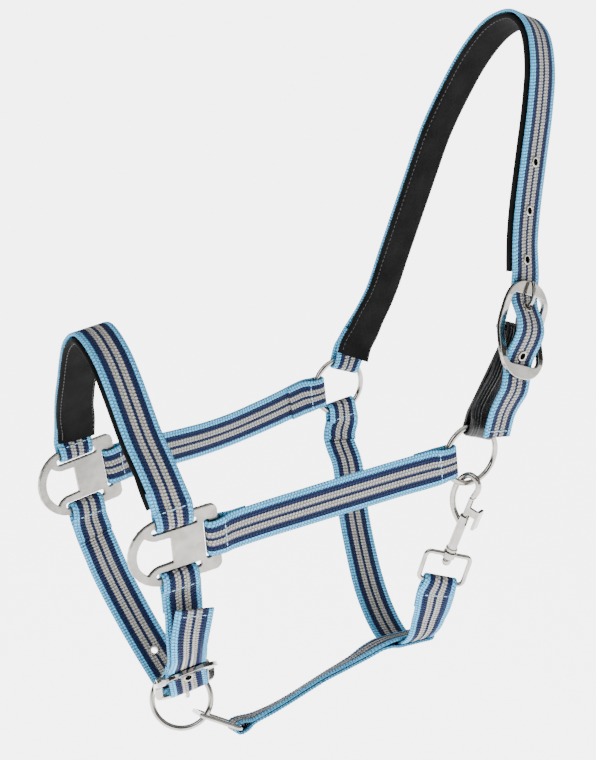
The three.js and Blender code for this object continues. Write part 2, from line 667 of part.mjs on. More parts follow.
const THROAT_GRIP = 13;
const LOOP_REACH = 15.5;
const LOOP_OPENS = 25;
const LOOP_RISE_HALF = 2.5;
function connectorLine(grip) {
  const bar = vec(0, 0, 0).applyMatrix4(LINK_PLACE);
  const across = axisOf(LINK_PLACE, 0);
  const next = vec(-117, -22.4, -178.9);
  const away = next.clone().sub(bar).projectOnPlane(across).normalize();
  const crosswise = grip.across.clone().cross(grip.out);
  const edge = [-0.44, -0.8, 0.41];
  return new StrapLine([
    { point: bar, across },
    { point: bar.clone().addScaledVector(away, 8), across },
    { point: next, across: vec(-0.38, -0.83, 0.41) },
    P(-101, -23.9, -173.4, edge),
    P(-78.4, -25.9, -164.3, edge),
    P(-56, -27.9, -156.6, [-0.36, -0.85, 0.38]),
    ...[-24, -12, 0, LOOP_REACH].map((reach) => (
      { point: grip.point.clone().addScaledVector(grip.across, -reach), across: crosswise.clone() })),
  ]);
}

// The connecting strap: two layers from the link back to the throat strap, where they part and
// close round it as a sliding loop. The ends of the webbing butt in the lower layer.
function connectorStrap(grip) {
  const line = connectorLine(grip);
  const low = layerHeight(WEBBING_THICK);
  const loopRise = LOOP_RISE_HALF;
  const loopFrom = line.length - LOOP_REACH - LOOP_OPENS;
  const height = (s) => low + (loopRise - low) * smooth((s - loopFrom) / 12);
  const list = [];
  const place = (s, h) => {
    const frame = line.at(s);
    list.push({ point: frame.point.clone().addScaledVector(frame.out, h), across: frame.across.clone() });
  };
  const seam = line.length * 0.42;
  const steps = 9;
  for (let i = 0; i <= steps; i++) {
    const s = seam + 0.5 + (loopFrom - seam) * i / steps;
    place(s, height(s));
  }
  for (let i = 1; i <= 7; i++) {
    const s = loopFrom + 0.5 + (line.length - loopFrom - 4) * i / 7;
    place(s, height(s));
  }
  for (let i = 1; i < 8; i++) {
    const a = Math.PI / 2 - Math.PI * i / 8;
    place(line.length - 3.5 + loopRise * Math.cos(a), loopRise * Math.sin(a));
  }
  for (let i = 7; i >= 0; i--) {
    const s = loopFrom + 0.5 + (line.length - loopFrom - 4) * i / 7;
    place(s, -height(s));
  }
  const from = LINK_FOLD.back + LINK_FOLD.neck;
  const back = 11;
  for (let i = back - 1; i > 0; i--) {
    const s = from + (loopFrom - from) * i / back;
    place(s, -height(s));
  }
  for (let i = 6; i >= 0; i--) {
    const q = LINK_FOLD.back + LINK_FOLD.neck * i / 6;
    place(q, -layerProfile(LINK_FOLD, q));
  }
  for (let i = 1; i < 8; i++) {
    const a = -Math.PI / 2 + Math.PI * i / 8;
    place(-LINK_FOLD.front - LINK_FOLD.rise * Math.cos(a), LINK_FOLD.rise * Math.sin(a));
  }
  for (let i = 0; i <= 6; i++) {
    const q = LINK_FOLD.back + LINK_FOLD.neck * i / 6;
    place(q, layerProfile(LINK_FOLD, q));
  }
  for (let i = 1; i <= 4; i++) {
    const s = from + (seam - from) * i / 4;
    place(s, low);
  }
  return sweep(list, WEBBING_WIDTH, WEBBING_THICK);
}

// ---- the bolt snap ----
// Local Z runs up the barrel from the swivel, local X from the eye towards the thumb side. The side
// ring's wire passes through the eye, under its top.
const SNAP_AXIS = vec(0.17, -0.28, 0.945);
const SNAP_RING_ANGLE = 262;
const HOOK_WIRE = 4.2;
const HOOK_POINTS = [
  [-1.6, 24.5], [-5.6, 27.6], [-9.8, 32], [-12.6, 38], [-13.4, 45], [-12.2, 52.2], [-7.9, 58.1],
  [-2.2, 58], [1.3, 53.7], [1.2, 48.9], [0.4, 45.6],
];
const BARREL_FROM = 3.4;
const BARREL_TO = 31;
const BARREL_RADIUS = 3.2;
const BARREL_BORE = 2.2;
const BOLT_RADIUS = 1.85;
const BOLT_FROM = 24;
const BOLT_TO = 44.8;
const THUMB_FROM = 32.5;
const THUMB_TO = 38;
const BOLT_TRAVEL = 7;
const SPRING_FROM = 9;
const SPRING_TO = 16.4;

function snapPlace() {
  const up = SNAP_AXIS.clone().normalize();
  const towardsRing = ringPoint(SNAP_RING_ANGLE, -SIDE_RING_Y).sub(SWIVEL).projectOnPlane(up);
  const sideways = towardsRing.normalize().negate();
  return new THREE.Matrix4().makeBasis(sideways, up.clone().cross(sideways), up).setPosition(SWIVEL);
}
const SNAP_PLACE = snapPlace();

const upright = (radius, from, to, sides = 16) => roundBar(radius, vec(0, 0, from), vec(0, 0, to), sides);

function snapBody() {
  const curve = new THREE.CatmullRomCurve3(HOOK_POINTS.map(([x, z]) => vec(x, 0, z)), false, 'centripetal');
  const bends = 28;
  const stations = curve.getSpacedPoints(bends).map((point) => ({ point, across: vec(0, 1, 0) }));
  const hook = new THREE.ExtrudeGeometry(disc(HOOK_WIRE / 2, 10), {
    steps: bends, extrudePath: new StrapPath(stations), bevelEnabled: false,
  });
  const barrel = upright(BARREL_RADIUS, BARREL_FROM + 1, BARREL_TO, 20);
  const collar = upright(4, BARREL_FROM, BARREL_FROM + 2, 20);
  const post = upright(1.6, -5, BARREL_FROM + 1, 14);
  const head = new THREE.SphereGeometry(3.1, 16, 10).translate(0, 0, -5.6);
  const bore = upright(BARREL_BORE, SPRING_FROM - 0.4, BARREL_TO + 0.1, 16);
  const slotFrom = THUMB_FROM - BOLT_TRAVEL - 0.5;
  const slot = box(8, 2.8, BARREL_TO + 1 - slotFrom, 4, 0, (BARREL_TO + 1 + slotFrom) / 2);
  return cut(join(barrel, hook, collar, post, head), bore, slot);
}

function snapBolt() {
  const rod = upright(BOLT_RADIUS, BOLT_FROM, BOLT_TO, 16);
  const middle = (THUMB_TO + THUMB_FROM) / 2;
  const bridge = box(7.6, 2.2, THUMB_TO - THUMB_FROM, 4.4, 0, middle);
  const thumb = box(2, 6.6, 14, 8.6, 0, middle - 2.4);
  return join(rod, bridge, thumb);
}

class SpringHelix extends THREE.Curve {
  getPoint(t) {
    const a = 2 * Math.PI * 6 * t;
    const rise = SPRING_FROM + 0.4 + (SPRING_TO - SPRING_FROM - 0.8) * t;
    return vec(1.6 * Math.cos(a), 1.6 * Math.sin(a), rise);
  }
}

function snapSpring() {
  return tubeAlong(new SpringHelix(), 0.32, 72, 5);
}

// The swivel loop: a wire rectangle with a bored boss in the middle of its top bar.
function snapLoop() {
  const across = LINK_INSIDE + LINK_WIRE;
  const frame = wireRectangle(across, LOOP_HEIGHT, LINK_WIRE, 3.4).translate(0, LOOP_HEIGHT / 2, 0);
  const axis = axisOf(SNAP_PLACE, 2).applyMatrix4(new THREE.Matrix4().extractRotation(LOOP_PLACE).invert());
  const centre = vec(0, LOOP_HEIGHT, 0);
  const along = (length) => [
    centre.clone().addScaledVector(axis, -length), centre.clone().addScaledVector(axis, length)];
  const boss = roundBar(4.3, ...along(2.3), 18);
  const bore = roundBar(1.95, ...along(6), 16);
  return cut(join(frame, boss), bore);
}

// ---- assembly ----
const halter = new THREE.Group();
halter.position.set(...RING_LINE);

function add(name, geometry, look, matrix = null) {
  const mesh = new THREE.Mesh(geometry, look);
  mesh.name = name;
  if (matrix) matrix.decompose(mesh.position, mesh.quaternion, mesh.scale);
  halter.add(mesh);
}

const nosebandRun = nosebandLine();
add('noseband_webbing', strap(nosebandRun, { start: SQUARE_FOLD, end: SQUARE_FOLD, step: 9 }), WEBBING);
add('noseband_lining', lining(nosebandRun, 10, 13, [SQUARE_FOLD, SQUARE_FOLD], 46, 1.5), LINING);

add('near_square', square(), CAST, NEAR_SQUARE);
add('far_square', square(), CAST, FAR_SQUARE);

add('near_cheek_strap', strap(cheekLine(-1), { start: SIDE_FOLD, end: RING_FOLD, step: 20 }), WEBBING);
add('far_cheek_strap', strap(cheekLine(1), { start: SIDE_FOLD, end: RING_FOLD, step: 20 }), WEBBING);

for (const [name, side] of [['near_ring', -1], ['far_ring', 1]]) {
  const place = placement(vec(0, side * SIDE_RING_Y, 0), vec(1, 0, 0), vec(0, 0, 1));
  add(name, ring(RING_RADIUS, RING_WIRE), CHROME, place);
}
add('chin_ring', ring(RING_RADIUS, RING_WIRE), CHROME, CHIN_RING_PLACE);

// Crown strap with its eyelets: holes are measured along the strap from the buckle's bar.
const crownRun = crownLine();
const crownBar = crownRun.lengthTo(crownRun.points.length - 9);
const CROWN_HOLES = [-110.3, -78.8, -47.3, -15.8, 17.5];
function eyeletPlace(line, s) {
  const before = line.at(s - EYELET_FLAT).point;
  const after = line.at(s + EYELET_FLAT).point;
  return placement(before.clone().lerp(after, 0.5), line.at(s).across, after.clone().sub(before).negate());
}
const HOLE_RADIUS = EYELET_BARREL / 2 + 0.3;
const holeTool = (place) => (
  new THREE.CylinderGeometry(HOLE_RADIUS, HOLE_RADIUS, 8, 16).rotateX(Math.PI / 2).applyMatrix4(place));
const crownPlaces = CROWN_HOLES.map((d) => eyeletPlace(crownRun, crownBar + d));
const crownWebbing = strap(crownRun, {
  start: RING_FOLD, step: 8, eyelets: CROWN_HOLES.map((d) => crownBar + d),
});
add('crown_strap', cut(crownWebbing, ...crownPlaces.map(holeTool)), WEBBING);
crownPlaces.forEach((place, i) => add(`crown_eyelet_${i + 1}`, eyelet(), STEEL, place));
add('crown_lining', lining(crownRun, 4, crownRun.length - crownBar + 40, [RING_FOLD, null], 44, 1.1), LINING);

add('crown_buckle_frame', buckleFrame(), CHROME, CROWN_BUCKLE);
add('crown_buckle_tongue', buckleTongue(), CHROME, CROWN_BUCKLE);
const leather = strap(leatherLine(), {
  start: LEATHER_RING_FOLD, end: LEATHER_BAR_FOLD, width: LEATHER_WIDTH, thick: LEATHER_THICK, step: 10,
  tail: 34, endTail: 34,
});
add('leather_tab', cut(leather, tongueSlot(CROWN_BUCKLE)), LEATHER);

const nearChin = strap(nearChinLine(), { start: SQUARE_FOLD, end: CHIN_BAR_FOLD, step: 7, endTail: 30 });
add('near_chin_strap', cut(nearChin, tongueSlot(CHIN_BUCKLE)), WEBBING);
const chinRun = farChinLine();
const chinBar = chinRun.lengthTo(chinRun.points.length - 10);
const CHIN_HOLES = [-76, -15.8, 15.5];
const chinPlaces = CHIN_HOLES.map((d) => eyeletPlace(chinRun, chinBar + d));
const chinWebbing = strap(chinRun, {
  start: SQUARE_FOLD, step: 6, eyelets: CHIN_HOLES.map((d) => chinBar + d),
});
add('far_chin_strap', cut(chinWebbing, ...chinPlaces.map(holeTool)), WEBBING);
chinPlaces.forEach((place, i) => add(`chin_eyelet_${i + 1}`, eyelet(), STEEL, place));
add('chin_buckle_frame', buckleFrame(), CHROME, CHIN_BUCKLE);
add('chin_buckle_tongue', buckleTongue(), CHROME, CHIN_BUCKLE);

const link = wireRectangle(LINK_INSIDE + LINK_WIRE, LINK_DEPTH, LINK_WIRE, 3.4).translate(0, -LINK_DEPTH / 2, 0);
add('chin_link', link, CHROME, LINK_PLACE);
const throatRun = throatLine();
const gripped = throatRun.lengthTo(THROAT_GRIP);
const grip = throatRun.at(gripped);
const gripSpan = [-1, 1].map((sign) => throatRun.at(gripped + sign * WEBBING_WIDTH / 2).point);
grip.point.lerp(gripSpan[0].clone().lerp(gripSpan[1], 0.5), 0.5);
grip.out = gripSpan[1].clone().sub(gripSpan[0]).cross(grip.across).normalize();
add('connecting_strap', connectorStrap(grip), WEBBING);
add('throat_strap', strap(throatRun, { start: RING_FOLD, end: LOOP_FOLD, step: 8 }), WEBBING);
add('snap_loop', snapLoop(), CHROME, LOOP_PLACE);
add('snap_body', snapBody(), CHROME, SNAP_PLACE);
add('snap_bolt', snapBolt(), CHROME, SNAP_PLACE);
add('snap_spring', snapSpring(), STEEL, SNAP_PLACE);

const part = new THREE.Group();
part.add(halter);
export default part;
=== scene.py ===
"""A one-inch webbing horse halter, hung as if on a head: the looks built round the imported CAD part.

Every strap, lining and leather is laid along the corner lines of its CAD solid, so it stays where
the frame puts it. Metres; +X towards the poll, +Y to the far side, +Z up.
"""
import itertools
import json
import math

import bmesh
import bpy
import numpy as np
from mathutils import Matrix, Vector


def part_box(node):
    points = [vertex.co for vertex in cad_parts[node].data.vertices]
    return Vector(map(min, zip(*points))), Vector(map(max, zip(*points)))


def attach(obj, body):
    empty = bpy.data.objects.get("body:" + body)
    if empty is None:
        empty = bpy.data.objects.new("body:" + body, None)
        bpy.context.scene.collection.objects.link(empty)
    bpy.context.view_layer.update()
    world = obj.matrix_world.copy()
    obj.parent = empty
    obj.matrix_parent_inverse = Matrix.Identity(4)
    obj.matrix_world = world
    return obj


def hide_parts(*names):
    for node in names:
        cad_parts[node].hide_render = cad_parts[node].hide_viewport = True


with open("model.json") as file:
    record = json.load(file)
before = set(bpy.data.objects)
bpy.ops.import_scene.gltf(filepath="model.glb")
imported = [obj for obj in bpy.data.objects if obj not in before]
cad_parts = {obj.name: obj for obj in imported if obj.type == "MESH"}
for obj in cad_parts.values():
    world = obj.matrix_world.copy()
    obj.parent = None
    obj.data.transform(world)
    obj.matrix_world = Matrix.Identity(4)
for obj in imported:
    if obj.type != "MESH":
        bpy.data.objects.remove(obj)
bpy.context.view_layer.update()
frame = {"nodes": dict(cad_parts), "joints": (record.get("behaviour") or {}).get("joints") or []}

MM = 0.001
WEBBING_THICK = 2.0 * MM
LINING_THICK = 3.4 * MM
LEATHER_THICK = 2.0 * MM
RING_BORE = 35 * MM
RING_WIRE = 3.7 * MM
YARN_COLUMNS = 13
RIB_PITCH = 2.1 * MM
RIB_HEIGHT = 0.15 * MM
SAME_POINT = 2e-6
SAME_LENGTH = 3e-5
JOINTS = {joint["name"]: joint for joint in frame["joints"]}


# ---- camera, floor and light ----
def direction(azimuth, elevation):
    a = math.radians(azimuth)
    e = math.radians(elevation)
    return Vector((math.sin(a) * math.cos(e), -math.cos(a) * math.cos(e), math.sin(e)))


def add_camera():
    target = Vector((-0.143, 0.043, -0.234))
    data = bpy.data.cameras.new("camera")
    data.lens = 80
    camera = bpy.data.objects.new("camera", data)
    bpy.context.scene.collection.objects.link(camera)
    camera.location = target + direction(-30.7, 18.4) * 1.1448
    camera.rotation_euler = (target - camera.location).to_track_quat("-Z", "Y").to_euler()
    bpy.context.scene.camera = camera


def add_softbox(name, azimuth, elevation, distance, size, watts):
    target = Vector((-0.14, 0, -0.22))
    data = bpy.data.lights.new(name, "AREA")
    data.shape = "RECTANGLE"
    data.size, data.size_y = size
    data.energy = watts
    light = bpy.data.objects.new(name, data)
    bpy.context.scene.collection.objects.link(light)
    light.location = target + direction(azimuth, elevation) * distance
    light.rotation_euler = (target - light.location).to_track_quat("-Z", "Y").to_euler()


def add_stage():
    bpy.ops.mesh.primitive_plane_add(size=400, location=(0, 0, -0.95))
    floor = bpy.context.object
    floor.name = "floor"
    tree, shader = new_material(floor, "floor_paper")
    shader.inputs["Base Color"].default_value = (0.9, 0.9, 0.9, 1)
    shader.inputs["Roughness"].default_value = 0.9
    shader.inputs["Emission Color"].default_value = (1, 1, 1, 1)
    shader.inputs["Emission Strength"].default_value = 5.0
    world = bpy.data.worlds.new("studio")
    bpy.context.scene.world = world
    world.use_nodes = True
    tree = world.node_tree
    place = tree.nodes.new("ShaderNodeTexCoord")
    split = tree.nodes.new("ShaderNodeSeparateXYZ")
    tree.links.new(place.outputs["Generated"], split.inputs[0])
    walls = ramp(tree, split.outputs["Z"], [
        (0.0, (1.0, 1.0, 1.0)), (0.1, (0.9, 0.9, 0.9)),
        (0.17, (0.02, 0.02, 0.022)), (0.6, (0.03, 0.03, 0.032)), (0.8, (0.28, 0.28, 0.28))])
    tree.links.new(walls, tree.nodes["Background"].inputs["Color"])
    tree.nodes["Background"].inputs["Strength"].default_value = 3.0


# ---- materials ----
def new_material(piece, name):
    """The named material, made once; returns its tree and shader, or None twice when it was there."""
    found = bpy.data.materials.get(name)
    if found:
        piece.data.materials.clear()
        piece.data.materials.append(found)
        return None, None
    material = bpy.data.materials.new(name)
    material.use_nodes = True
    piece.data.materials.clear()
    piece.data.materials.append(material)
    return material.node_tree, material.node_tree.nodes["Principled BSDF"]


def feed(tree, socket, value):
    if isinstance(value, (int, float)):
        socket.default_value = value
    else:
        tree.links.new(value, socket)


def math_node(tree, operation, a, b=0.0, c=0.0):
    node = tree.nodes.new("ShaderNodeMath")
    node.operation = operation
    for socket, value in zip(node.inputs, (a, b, c)):
        feed(tree, socket, value)
    return node.outputs[0]


def noise(tree, scale, detail=3.0):
    """Noise fixed to the piece, in cycles per metre."""
    place = tree.nodes.new("ShaderNodeTexCoord")
    node = tree.nodes.new("ShaderNodeTexNoise")
    node.inputs["Scale"].default_value = scale
    node.inputs["Detail"].default_value = detail
    tree.links.new(place.outputs["Object"], node.inputs["Vector"])
    return node.outputs["Fac"]


def ramp(tree, value, stops, interpolation="LINEAR"):
    node = tree.nodes.new("ShaderNodeValToRGB")
    node.color_ramp.interpolation = interpolation
    elements = node.color_ramp.elements
    elements[0].position, elements[0].color = stops[0][0], (*stops[0][1], 1)
    elements[1].position, elements[1].color = stops[1][0], (*stops[1][1], 1)
    for position, colour in stops[2:]:
        elements.new(position).color = (*colour, 1)
    tree.links.new(value, node.inputs["Fac"])
    return node.outputs["Color"]


def shade(tree, colour, amount):
    node = tree.nodes.new("ShaderNodeMix")
    node.data_type = "RGBA"
    node.blend_type = "MULTIPLY"
    node.inputs["Factor"].default_value = 1
    tree.links.new(colour, node.inputs["A"])
    tree.links.new(amount, node.inputs["B"])
    return node.outputs["Result"]


def bump(tree, height, distance, before=None, strength=1.0):
    node = tree.nodes.new("ShaderNodeBump")
    node.inputs["Strength"].default_value = strength
    node.inputs["Distance"].default_value = distance
    tree.links.new(height, node.inputs["Height"])
    if before:
        tree.links.new(before, node.inputs["Normal"])
    return node.outputs["Normal"]


def strap_place(tree):
    """Across the strap from 0 to 1, and along it in metres."""
    uv = tree.nodes.new("ShaderNodeUVMap")
    uv.uv_map = "strap"
    split = tree.nodes.new("ShaderNodeSeparateXYZ")
    tree.links.new(uv.outputs["UV"], split.inputs[0])
    return split.outputs["X"], split.outputs["Y"]


LIGHT_BLUE = (0.105, 0.44, 0.74)
NAVY = (0.0022, 0.010, 0.055)
GREY = (0.34, 0.335, 0.31)


def weave_relief(tree, across, along):
    """Height of the yarns, 0 to 1: ribs that step sideways from column to column on the face side."""
    side = tree.nodes.new("ShaderNodeAttribute")
    side.attribute_name = "face_side"
    column = math_node(tree, "MULTIPLY", across, YARN_COLUMNS)
    step = math_node(tree, "MULTIPLY", math_node(tree, "FLOOR", column), 0.34)
    step = math_node(tree, "MULTIPLY", step, side.outputs["Fac"])
    rib = math_node(tree, "ADD", math_node(tree, "DIVIDE", along, RIB_PITCH), step)
    crest = math_node(tree, "SINE", math_node(tree, "MULTIPLY", math_node(tree, "FRACT", rib), math.pi))
    yarn = math_node(tree, "SINE", math_node(tree, "MULTIPLY", math_node(tree, "FRACT", column), math.pi))
    crest = math_node(tree, "POWER", crest, 0.7)
    yarn = math_node(tree, "POWER", yarn, 0.35)
    return math_node(tree, "MULTIPLY", crest, yarn)


def webbing_material(piece):
    tree, shader = new_material(piece, "striped_webbing")
    if not tree:
        return
    across, along = strap_place(tree)
    relief = weave_relief(tree, across, along)
    wave = math_node(tree, "SINE", math_node(tree, "MULTIPLY", along, 2 * math.pi / RIB_PITCH))
    step = math_node(tree, "MULTIPLY", wave, 0.008)
    wander = math_node(tree, "MULTIPLY_ADD", noise(tree, 900), 0.02, step)
    edge = math_node(tree, "ADD", across, math_node(tree, "ADD", wander, -0.01))
    column = 1 / YARN_COLUMNS
    stripes = ramp(tree, edge, [
        (0, LIGHT_BLUE), (2 * column, NAVY), (4 * column, GREY), (6 * column, NAVY),
        (7 * column, GREY), (9 * column, NAVY), (11 * column, LIGHT_BLUE)], "CONSTANT")
    # Painted shade: the stripe colour is darkened where the weave relief is low, in the grooves between
    # ribs and between yarn columns, on top of the bump; the noise below adds random tone.
    painted_groove_shade = math_node(tree, "MULTIPLY_ADD", relief, 0.8, 0.24)
    worn = math_node(tree, "MULTIPLY_ADD", noise(tree, 160), 0.3, 0.87)
    colour = shade(tree, stripes, math_node(tree, "MULTIPLY", painted_groove_shade, worn))
    tree.links.new(colour, shader.inputs["Base Color"])
    shader.inputs["Roughness"].default_value = 0.82
    shader.inputs["Specular IOR Level"].default_value = 0.12
    shader.inputs["Sheen Weight"].default_value = 0.05
    shader.inputs["Sheen Roughness"].default_value = 0.5
    fibres = bump(tree, noise(tree, 2600), 0.00012)
    tree.links.new(bump(tree, relief, 0.0009, fibres), shader.inputs["Normal"])


def thread_material(piece, name, colour):
    tree, shader = new_material(piece, name)
    if not tree:
        return
    twist = noise(tree, 2200)
    tone = ramp(tree, twist, [(0.3, tuple(0.6 * c for c in colour)), (0.7, colour)])
    tree.links.new(tone, shader.inputs["Base Color"])
    shader.inputs["Roughness"].default_value = 0.6
    tree.links.new(bump(tree, twist, 0.0001), shader.inputs["Normal"])


def lining_material(piece):
    tree, shader = new_material(piece, "black_padding")
    if not tree:
        return
    tone = ramp(tree, noise(tree, 60), [
        (0.3, (0.0025, 0.0025, 0.0025)), (0.7, (0.006, 0.006, 0.006))])
    tree.links.new(tone, shader.inputs["Base Color"])
    shader.inputs["Roughness"].default_value = 0.9
    shader.inputs["Specular IOR Level"].default_value = 0.04
    shader.inputs["Sheen Weight"].default_value = 0.005
    nap = bump(tree, noise(tree, 1800), 0.00018)
    tree.links.new(bump(tree, noise(tree, 300), 0.0003, nap, 0.5), shader.inputs["Normal"])


def leather_material(piece):
    tree, shader = new_material(piece, "black_leather")
    if not tree:
        return
    tone = ramp(tree, noise(tree, 90), [
        (0.3, (0.003, 0.003, 0.003)), (0.75, (0.008, 0.007, 0.007))])
    tree.links.new(tone, shader.inputs["Base Color"])
    polish = math_node(tree, "MULTIPLY_ADD", noise(tree, 220), 0.3, 0.2)
    tree.links.new(polish, shader.inputs["Roughness"])
    shader.inputs["Specular IOR Level"].default_value = 0.3
    grain = tree.nodes.new("ShaderNodeTexVoronoi")
    grain.inputs["Scale"].default_value = 1100
    place = tree.nodes.new("ShaderNodeTexCoord")
    tree.links.new(place.outputs["Object"], grain.inputs["Vector"])
    pores = bump(tree, grain.outputs["Distance"], 0.00008)
    tree.links.new(bump(tree, noise(tree, 130), 0.00015, pores), shader.inputs["Normal"])


def metal_material(piece, name, colour, rough, pitting):
    tree, shader = new_material(piece, name)
    if not tree:
        return
    tone = ramp(tree, noise(tree, 110), [(0.35, tuple(0.72 * c for c in colour)), (0.65, colour)])
    tree.links.new(tone, shader.inputs["Base Color"])
    shader.inputs["Metallic"].default_value = 1
    worn = math_node(tree, "MULTIPLY_ADD", noise(tree, 350), 0.16, rough - 0.06)
    tree.links.new(worn, shader.inputs["Roughness"])
    tree.links.new(bump(tree, noise(tree, 700), pitting), shader.inputs["Normal"])


def plated(piece):
    metal_material(piece, "bright_nickel", (0.32, 0.305, 0.28), 0.12, 0.000012)


def cast(piece):
    metal_material(piece, "satin_casting", (0.25, 0.24, 0.22), 0.32, 0.0001)


# ---- straps laid along their CAD solids ----
def next_station(station, seen, thick):
    """The next four corners along a strap: neighbours of these four that make a flat rectangle."""
    near = [[e.other_vert(v) for e in v.link_edges if e.other_vert(v) not in seen] for v in station]
    best = None
    least = math.inf
    for a, b, c, d in itertools.product(*near):
        rise = c.co - a.co
        square = abs(rise.dot((b.co - a.co).normalized())) < 0.03 * thick
        level = (d.co - b.co - rise).length < SAME_LENGTH and abs(rise.length - thick) < SAME_LENGTH
        advance = sum((v.co - w.co).length for v, w in zip((a, b, c, d), station))
        if square and level and advance < least:
            best = [a, b, c, d]
            least = advance
    return best


def corner_lines(node, thick):
    """The four long corner lines of a strap's solid: two along one face, then two along the other."""
    mesh = bmesh.new()
    mesh.from_mesh(frame["nodes"][node].data)
    bmesh.ops.remove_doubles(mesh, verts=mesh.verts, dist=SAME_POINT)
    sharp = {}
    for edge in mesh.edges:
        if len(edge.link_faces) == 2 and edge.calc_face_angle() > math.radians(60):
            for vert in edge.verts:
                sharp.setdefault(vert, []).append(edge)

    def is_short(edge):
        cornered_ends = all(len(sharp.get(v, ())) > 2 for v in edge.verts)
        return cornered_ends and abs(edge.calc_length() - thick) < SAME_LENGTH

    cornered = {v: es for v, es in sharp.items() if len(es) == 3 and any(map(is_short, es))}
    longest = {v: max(es, key=lambda e: e.calc_length()) for v, es in cornered.items()}
    widest = max(e.calc_length() for e in longest.values())
    long_edge = {v: e for v, e in longest.items() if e.calc_length() > 0.999 * widest}

    cap = next(e for v in long_edge for e in sharp[v] if is_short(e) and e.verts[0] in long_edge)
    a, b = cap.verts
    station = [a, long_edge[a].other_vert(a), b, long_edge[b].other_vert(b)]
    stations = []
    seen = set()
    while station:
        stations.append([tuple(v.co) for v in station])
        seen.update(station)
        station = next_station(station, seen, thick)
    mesh.free()
    return np.array(stations).swapaxes(0, 1)


def smooth_line(values, at, wanted):
    """A cubic through the values at the places `at`, read at the wanted places."""
    slopes = np.gradient(values, at, axis=0)
    k = np.clip(np.searchsorted(at, wanted, side="right") - 1, 0, len(at) - 2)
    h = (at[k + 1] - at[k])[:, None]
    t = ((wanted - at[k]) / (at[k + 1] - at[k]))[:, None]
    first = values[k] * (2 * t**3 - 3 * t**2 + 1) + h * slopes[k] * (t**3 - 2 * t**2 + t)
    return first + values[k + 1] * (3 * t**2 - 2 * t**3) + h * slopes[k + 1] * (t**3 - t**2)


def unit(v):
    return v / np.linalg.norm(v, axis=-1, keepdims=True)


class Strip:
    """A strap's middle line with its sideways and outward directions at even steps."""

    def __init__(self, node, thick, first, step=0.5 * MM):
        lines = corner_lines(node, thick)
        middle = lines.mean(axis=0)
        low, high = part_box(first)
        anchor = np.array((low + high) / 2)
        if np.linalg.norm(middle[0] - anchor) > np.linalg.norm(middle[-1] - anchor):
            lines = lines[:, ::-1]
            middle = middle[::-1]
        sideways = (lines[1] + lines[3] - lines[0] - lines[2]) / 2
        outward = lines[:2].mean(axis=0) - lines[2:].mean(axis=0)
        inside = np.array([-0.15, 0, -0.2])
        centre = len(middle) // 2
        if outward[centre] @ (middle[centre] - inside) < 0:
            outward = -outward
        at = np.concatenate([[0], np.cumsum(np.linalg.norm(np.diff(middle, axis=0), axis=1))])
        self.length = at[-1]
        self.s = np.linspace(0, at[-1], int(at[-1] / step) + 2)
        self.middle = smooth_line(middle, at, self.s)
        wide = smooth_line(sideways, at, self.s)
        self.half = np.linalg.norm(wide, axis=1) / 2
        self.across = unit(wide)
        out = smooth_line(unit(outward), at, self.s)
        out -= (out * self.across).sum(1)[:, None] * self.across
        self.out = unit(out)
        self.thick = thick

    def apex(self, from_end=False):
        """How far along the strip its end fold turns round the bar."""
        order = slice(None, None, -1) if from_end else slice(None)
        way = unit(np.gradient(self.middle, axis=0))[order]
        turned = np.argmax((way @ way[0]) < 0)
        return self.s[order][turned]

    def place(self, s, x, height):
        """A point on the strip: s along, x across from the middle, height out of its middle layer."""
        i = int(np.clip(round(s / self.length * (len(self.s) - 1)), 1, len(self.s) - 2))
        point = self.middle[i] + self.across[i] * x + self.out[i] * height
        return point, self.across[i], self.out[i], unit(self.middle[i + 1] - self.middle[i - 1])


def section(half, thick, columns, edge_steps=4):
    """Points round a flat strap's section, with round edges: x across, z out, and +1 or -1 for its face."""
    r = thick / 2
    flat = np.linspace(-(half - r), half - r, columns + 1)
    top = [(x, r, 1) for x in flat]
    right = [(half - r + r * math.cos(a), r * math.sin(a), 0)
             for a in np.linspace(math.pi / 2, -math.pi / 2, edge_steps + 1)[1:-1]]
    bottom = [(-x, -z, -side) for x, z, side in top]
    left = [(-x, -z, 0) for x, z, side in right]
    return np.array(top + right + bottom + left)


def tube_faces(rows, points):
    i = np.arange(rows - 1)[:, None] * points
    j = np.arange(points)[None, :]
    k = (j + 1) % points
    return np.stack([i + j, i + points + j, i + points + k, i + k], axis=-1).reshape(-1, 4)


def mesh_piece(name, verts, faces):
    mesh = bpy.data.meshes.new(name)
    mesh.from_pydata(verts.tolist(), [], faces if isinstance(faces, list) else faces.tolist())
    mesh.update()
    piece = bpy.data.objects.new(name, mesh)
    bpy.context.scene.collection.objects.link(piece)
    mesh.polygons.foreach_set("use_smooth", np.ones(len(mesh.polygons), bool))
    return piece


